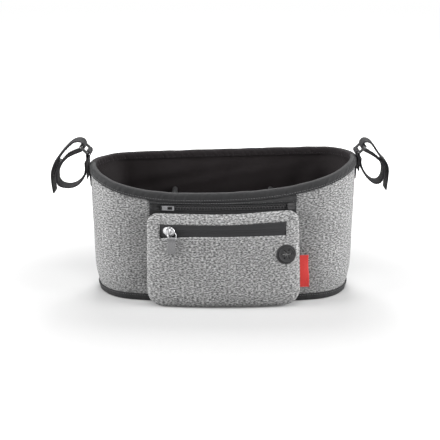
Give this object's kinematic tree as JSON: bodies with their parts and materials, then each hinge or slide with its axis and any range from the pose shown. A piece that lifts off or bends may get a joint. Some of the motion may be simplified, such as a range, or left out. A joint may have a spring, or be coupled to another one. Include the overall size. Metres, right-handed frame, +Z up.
{
  "type": "stroller organizer",
  "caption": "Open padded handlebar bag with divided cup wells, strap loops at both ends, and a zip-off flat zipped wallet with a cable port on its front.",
  "frame": {"origin": "centre of the footprint at the level of the base", "axes": "+Z up, -Y out of the front, +X along the handlebar to the viewer's right"},
  "size_m": [0.4113, 0.1421, 0.1927],
  "materials": {
    "heather_neoprene": "matte heather knit over thin foam",
    "charcoal_binding": "matte woven tape",
    "black_binding": "matte woven tape",
    "base_board": "matte woven cloth over a stiffener",
    "black_lining": "smooth woven lining",
    "divider_padding": "quilted lining cloth over foam",
    "divider_binding": "matte woven tape",
    "zipper_tape": "woven tape with moulded teeth or coil",
    "moulded_black": "semi-gloss moulded or painted black",
    "gunmetal": "satin gunmetal",
    "polished_nickel": "polished nickel",
    "grey_ribbon": "ribbed ribbon",
    "black_rubber": "satin rubber",
    "red_ribbon": "plain satin ribbon",
    "anchor_webbing": "ribbed webbing",
    "ring_black": "gloss black",
    "strap_webbing": "ribbed webbing",
    "grip_tape": "hook-and-loop pile"
  },
  "bodies": {
    "organizer": {"outer_front_panel": "heather_neoprene", "outer_back_panel": "heather_neoprene", "front_binding": "charcoal_binding", "back_binding": "black_binding", "base_binding": "charcoal_binding", "base_panel": "base_board", "lining": "black_lining", "left_divider": "divider_padding", "right_divider": "divider_padding", "left_divider_binding": "divider_binding", "right_divider_binding": "divider_binding", "upper_stringer": "zipper_tape", "lower_stringer": "zipper_tape", "retainer_box": "moulded_black", "wallet_back": "heather_neoprene", "wallet_top_panel": "heather_neoprene", "wallet_lower_panel": "heather_neoprene", "wallet_tab_left": "heather_neoprene", "wallet_tab_right": "heather_neoprene", "wallet_tape_upper": "zipper_tape", "wallet_tape_lower": "zipper_tape", "headphone_port": "black_rubber", "side_tag": "red_ribbon", "left_anchor_tab": "anchor_webbing", "right_anchor_tab": "anchor_webbing", "left_ring": "ring_black", "right_ring": "ring_black", "left_strap": "strap_webbing", "right_strap": "strap_webbing", "left_loop_tape": "grip_tape", "right_loop_tape": "grip_tape", "left_hook_tape": "grip_tape", "right_hook_tape": "grip_tape"},
    "attach_slider": {"attach_slider": "moulded_black"},
    "attach_pull": {"attach_pull": "gunmetal"},
    "wallet_slider": {"wallet_slider": "polished_nickel"},
    "wallet_pull": {"wallet_loop": "polished_nickel", "ribbon_pull": "grey_ribbon"}
  },
  "joints": [
    {"name": "attach_zip", "type": "hinge", "parent": "organizer", "child": "attach_slider", "pos_m": [0, 0.51211, 0.122], "axis": [-0.011, 0, 0.9999], "range_deg": [0, 15.1], "deforming": ["upper_stringer", "lower_stringer"]},
    {"name": "attach_pull_swing", "type": "hinge", "parent": "attach_slider", "child": "attach_pull", "pos_m": [-0.07743, -0.04995, 0.12165], "axis": [0.0002, -0.0758, -0.9971], "range_deg": [0, 160]},
    {"name": "wallet_zip", "type": "hinge", "parent": "organizer", "child": "wallet_slider", "pos_m": [0.0003, 0.51211, 0.0951], "axis": [-0.011, 0, 0.9999], "range_deg": [0, 13], "deforming": ["wallet_tape_upper", "wallet_tape_lower"]},
    {"name": "wallet_pull_swing", "type": "hinge", "parent": "wallet_slider", "child": "wallet_pull", "pos_m": [-0.06547, -0.06337, 0.09688], "axis": [-0.9935, 0.1135, -0.0109], "range_deg": [0, 120]}
  ]
}
